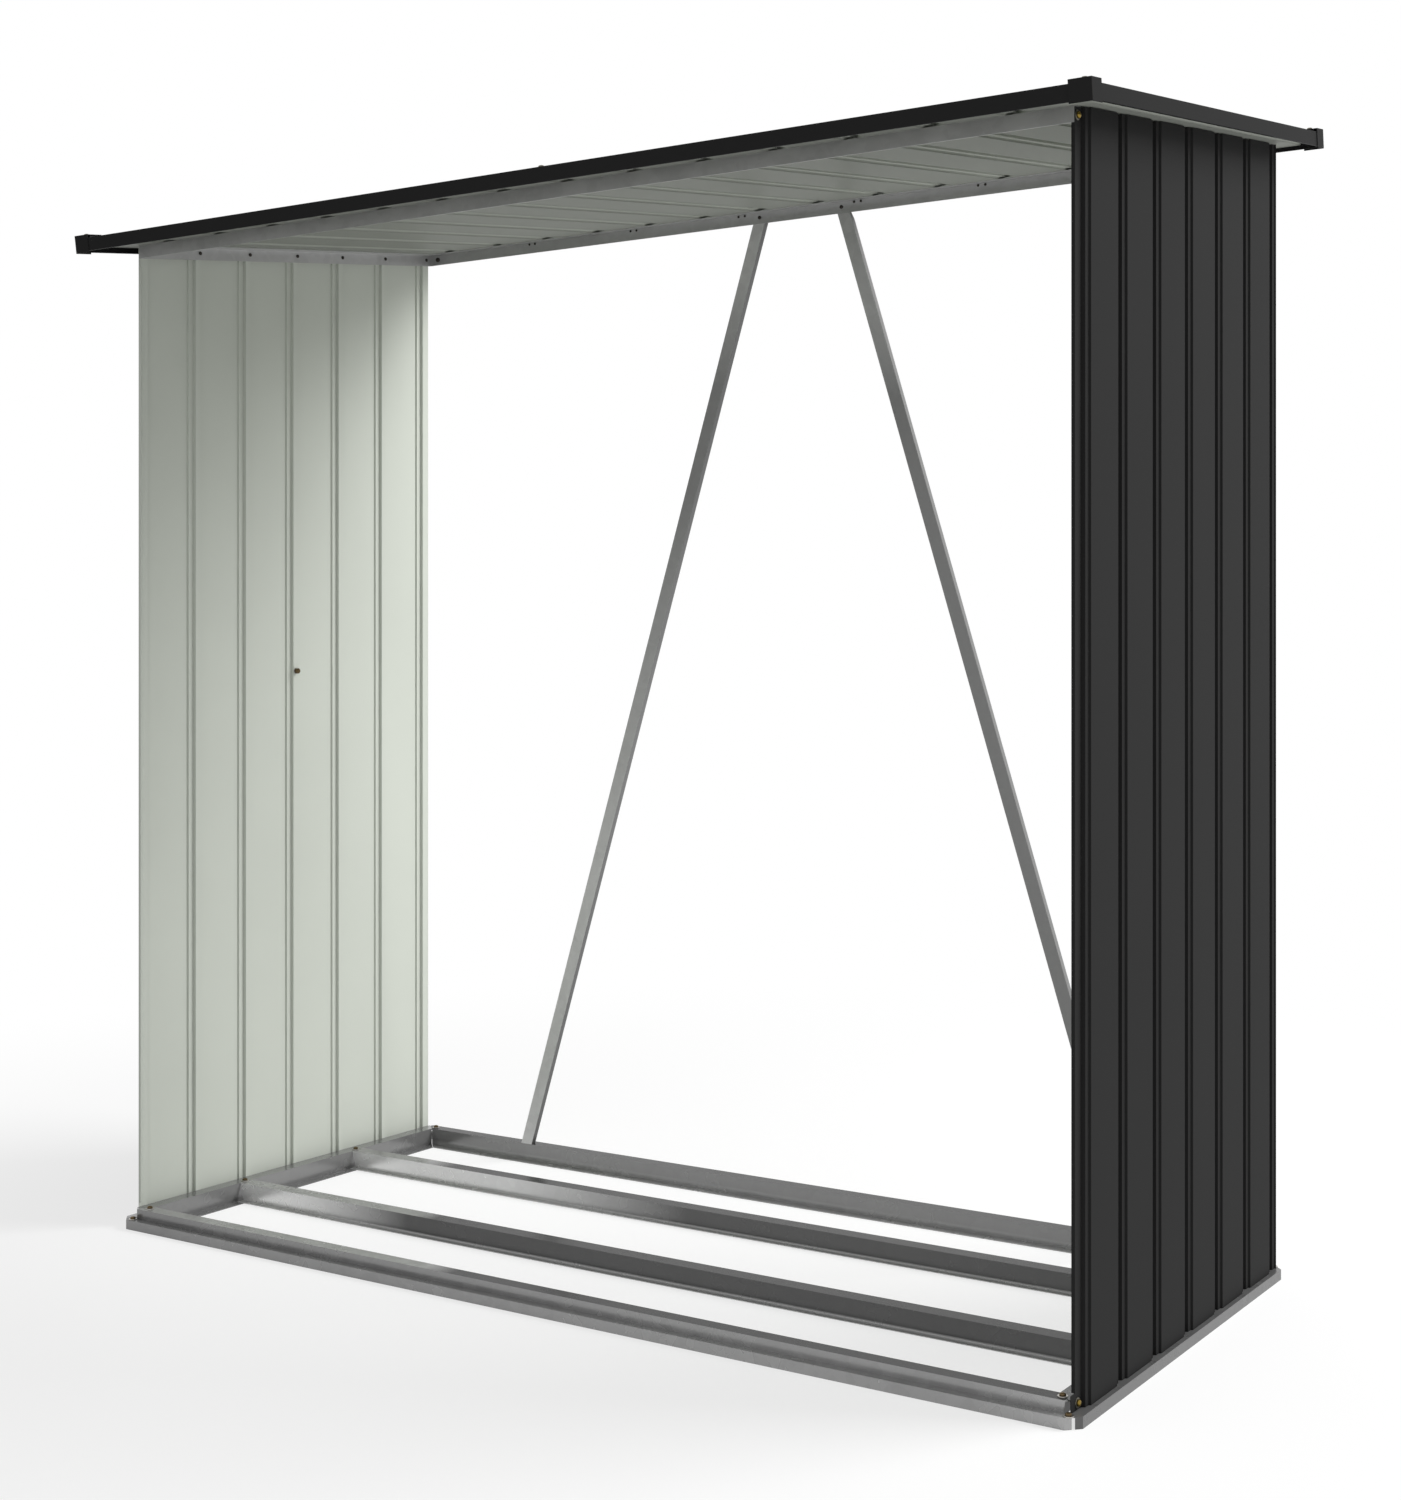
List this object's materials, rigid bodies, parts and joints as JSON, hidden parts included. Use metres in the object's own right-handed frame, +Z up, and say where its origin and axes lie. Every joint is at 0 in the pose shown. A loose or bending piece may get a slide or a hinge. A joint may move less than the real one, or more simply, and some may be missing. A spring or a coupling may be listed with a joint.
{
  "type": "log store",
  "caption": "Open log store: corrugated steel side walls under a sloping corrugated roof, on a folded base frame with bearers, braced at the back, for keeping firewood dry.",
  "frame": {"origin": "on the ground, at the middle of the overall width and depth", "axes": "+X along the front from left to right, +Y from the open front to the braced back, +Z up"},
  "size_m": [1.638, 0.815, 1.6028],
  "materials": {
    "sill": "galvanised, smooth",
    "corner_plate": "galvanised, smooth",
    "bearer": "galvanised, smooth",
    "wall_sheet": "coated sheet, anthracite outside and pale grey inside",
    "rail": "galvanised, smooth",
    "brace": "galvanised, smooth",
    "roof_sheet": "coated sheet, anthracite above and pale grey below",
    "fascia": "satin black coating",
    "cap": "black, satin"
  },
  "bodies": {
    "root": {"front_sill": "sill", "right_sill": "sill", "back_sill": "sill", "left_sill": "sill", "front_left_corner_plate": "corner_plate", "front_right_corner_plate": "corner_plate", "back_right_corner_plate": "corner_plate", "back_left_corner_plate": "corner_plate", "front_bearer": "bearer", "rear_bearer": "bearer", "left_wall_front_sheet": "wall_sheet", "left_wall_rear_sheet": "wall_sheet", "right_wall_front_sheet": "wall_sheet", "right_wall_rear_sheet": "wall_sheet", "front_rail": "rail", "back_rail": "rail", "left_rail": "rail", "right_rail": "rail", "left_brace": "brace", "right_brace": "brace", "roof_sheet_1": "roof_sheet", "roof_sheet_2": "roof_sheet", "roof_sheet_3": "roof_sheet", "roof_sheet_4": "roof_sheet", "roof_sheet_5": "roof_sheet", "front_fascia": "fascia", "right_fascia": "fascia", "back_fascia": "fascia", "left_fascia": "fascia", "front_left_cap": "cap", "front_right_cap": "cap", "back_right_cap": "cap", "back_left_cap": "cap"}
  },
  "joints": []
}
